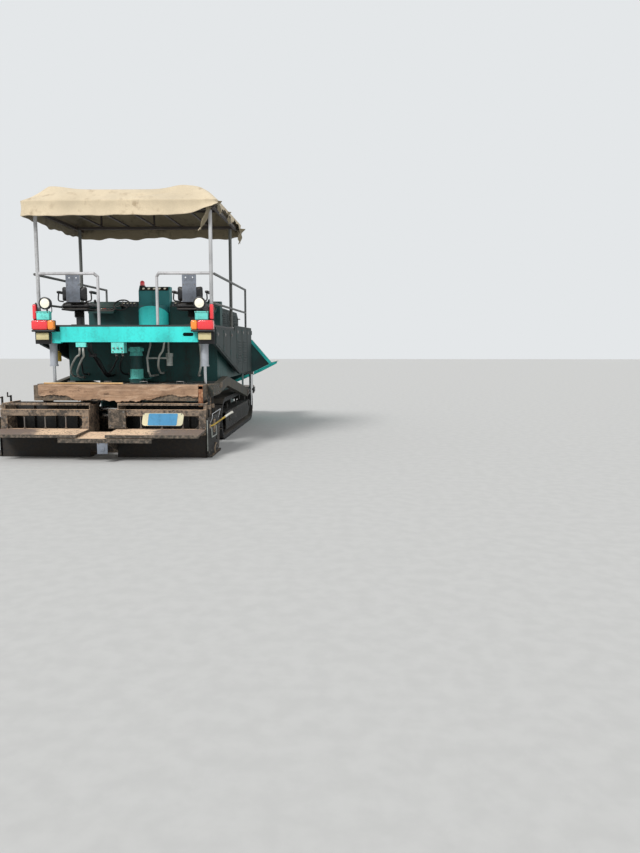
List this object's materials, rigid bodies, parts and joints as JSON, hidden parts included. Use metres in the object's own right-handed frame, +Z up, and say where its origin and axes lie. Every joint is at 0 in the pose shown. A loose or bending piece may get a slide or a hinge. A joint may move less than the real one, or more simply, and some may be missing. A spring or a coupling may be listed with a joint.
{
  "type": "tracked asphalt paver",
  "caption": "Tracked asphalt paver with opening hopper wings, slat conveyors, augers, floating telescopic screed and a canvas canopy over the operator platform.",
  "frame": {"origin": "on the ground, on the machine's midplane, at the middle of its length", "axes": "+Y in the travel direction, +X to the machine's right, +Z up"},
  "size_m": [3.24, 6.598, 3.6],
  "materials": {
    "teal_paint": "sun-bleached gloss, dusty",
    "dark_paint": "dirty gloss",
    "black_paint": "worn matte",
    "grey_paint": "worn satin",
    "asphalt_steel": "coated with dried asphalt and dust",
    "worn_steel": "polished by use",
    "rod_chrome": "polished",
    "track_rubber": "dusty",
    "seat_black": "soft, worn",
    "canvas": "weathered canvas",
    "mint_paint": "sun-bleached, dusty",
    "hose_rubber": "dusty",
    "mat": "dirty, stiff",
    "lamp_mix": "lenses in black housings"
  },
  "bodies": {
    "tractor": {"chassis": "dark_paint", "tunnel_floor": "worn_steel", "tunnel_roof": "dark_paint", "centre_wall": "dark_paint", "front_frame": "dark_paint", "engine_bay": "dark_paint", "platform": "black_paint", "rear_beam": "teal_paint", "cowl": "teal_paint", "consoles": "dark_paint", "guard_rails": "grey_paint", "canopy_frame": "grey_paint", "canopy": "canvas", "lamp_clusters": "lamp_mix", "auger_drive": "dark_paint", "lift_barrels": "grey_paint", "rear_fittings": "mint_paint", "pipe_frame": "grey_paint", "hoses": "hose_rubber", "tow_cylinders": "rod_chrome", "track_frame_left": "black_paint", "track_frame_right": "black_paint", "track_rollers_left": "worn_steel", "track_rollers_right": "worn_steel", "sprocket_left": "black_paint", "sprocket_right": "black_paint", "idler_left": "black_paint", "idler_right": "black_paint", "track_left": "track_rubber", "track_right": "track_rubber", "conveyor_left": "worn_steel", "conveyor_right": "worn_steel", "side_panel_left": "dark_paint", "side_panel_right": "dark_paint"},
    "hood": {"hood": "dark_paint"},
    "apron": {"apron": "dark_paint"},
    "push_beam": {"push_beam": "black_paint"},
    "screed": {"screed_body": "asphalt_steel", "tow_arm_left": "asphalt_steel", "tow_arm_right": "asphalt_steel", "centre_step": "asphalt_steel", "screed_mat": "mat"},
    "wing_left": {"wing_left": "teal_paint"},
    "push_roller_left": {"push_roller_left": "worn_steel"},
    "auger_left": {"auger_left": "worn_steel"},
    "seat_left": {"seat_left": "seat_black"},
    "lift_rod_left": {"lift_rod_left": "rod_chrome"},
    "extension_left": {"extension_left": "asphalt_steel", "walkway_left": "asphalt_steel"},
    "end_plate_left": {"end_plate_left": "asphalt_steel"},
    "wing_right": {"wing_right": "teal_paint"},
    "push_roller_right": {"push_roller_right": "worn_steel"},
    "auger_right": {"auger_right": "worn_steel"},
    "seat_right": {"seat_right": "seat_black"},
    "lift_rod_right": {"lift_rod_right": "rod_chrome"},
    "extension_right": {"extension_right": "asphalt_steel", "walkway_right": "asphalt_steel"},
    "end_plate_right": {"end_plate_right": "asphalt_steel"}
  },
  "joints": [
    {"name": "screed_lift", "type": "hinge", "parent": "tractor", "child": "screed", "pos_m": [0, 0.97, 0.62], "axis": [-1, 0, 0], "range_deg": [0, 5.5]},
    {"name": "hood_hinge", "type": "hinge", "parent": "tractor", "child": "hood", "pos_m": [0, 1.432, 1.815], "axis": [-1, 0, 0], "range_deg": [0, 55]},
    {"name": "apron_hinge", "type": "hinge", "parent": "tractor", "child": "apron", "pos_m": [0, 2.825, 0.662], "axis": [1, 0, 0], "range_deg": [0, 50]},
    {"name": "push_beam_swing", "type": "hinge", "parent": "tractor", "child": "push_beam", "pos_m": [0, 3.04, 0.535], "axis": [0, 0, 1], "range_deg": [-6, 6]},
    {"name": "wing_hinge_left", "type": "hinge", "parent": "tractor", "child": "wing_left", "pos_m": [-0.7, 2.17, 0.745], "axis": [0, 1, 0], "range_deg": [0, 55]},
    {"name": "push_roller_spin_left", "type": "hinge", "parent": "push_beam", "child": "push_roller_left", "pos_m": [-0.72, 3.208, 0.535], "axis": [1, 0, 0], "continuous": true},
    {"name": "auger_spin_left", "type": "hinge", "parent": "tractor", "child": "auger_left", "pos_m": [-0.6, -1.77, 0.37], "axis": [1, 0, 0], "continuous": true},
    {"name": "seat_swivel_left", "type": "hinge", "parent": "tractor", "child": "seat_left", "pos_m": [-0.83, -1.77, 1.88], "axis": [0, 0, 1], "range_deg": [-25, 25]},
    {"name": "lift_rod_slide_left", "type": "slide", "parent": "tractor", "child": "lift_rod_left", "axis": [0, 0, 1], "range_m": [0, 0.31]},
    {"name": "extension_slide_left", "type": "slide", "parent": "screed", "child": "extension_left", "axis": [-1, 0, 0], "range_m": [-0.35, 0.8]},
    {"name": "end_plate_height_left", "type": "slide", "parent": "extension_left", "child": "end_plate_left", "axis": [0, 0, 1], "range_m": [0, 0.1]},
    {"name": "wing_hinge_right", "type": "hinge", "parent": "tractor", "child": "wing_right", "pos_m": [0.7, 2.17, 0.745], "axis": [0, -1, 0], "range_deg": [0, 55]},
    {"name": "push_roller_spin_right", "type": "hinge", "parent": "push_beam", "child": "push_roller_right", "pos_m": [0.72, 3.208, 0.535], "axis": [1, 0, 0], "continuous": true},
    {"name": "auger_spin_right", "type": "hinge", "parent": "tractor", "child": "auger_right", "pos_m": [0.6, -1.77, 0.37], "axis": [1, 0, 0], "continuous": true},
    {"name": "seat_swivel_right", "type": "hinge", "parent": "tractor", "child": "seat_right", "pos_m": [0.83, -1.77, 1.88], "axis": [0, 0, 1], "range_deg": [-25, 25]},
    {"name": "lift_rod_slide_right", "type": "slide", "parent": "tractor", "child": "lift_rod_right", "axis": [0, 0, 1], "range_m": [0, 0.31]},
    {"name": "extension_slide_right", "type": "slide", "parent": "screed", "child": "extension_right", "axis": [1, 0, 0], "range_m": [0, 1.15]},
    {"name": "end_plate_height_right", "type": "slide", "parent": "extension_right", "child": "end_plate_right", "axis": [0, 0, 1], "range_m": [0, 0.1]}
  ],
  "couplings": [
    {"joint": "lift_rod_slide_left", "follows": "screed_lift", "m_per_rad": 3.13},
    {"joint": "lift_rod_slide_right", "follows": "screed_lift", "m_per_rad": 3.13}
  ]
}
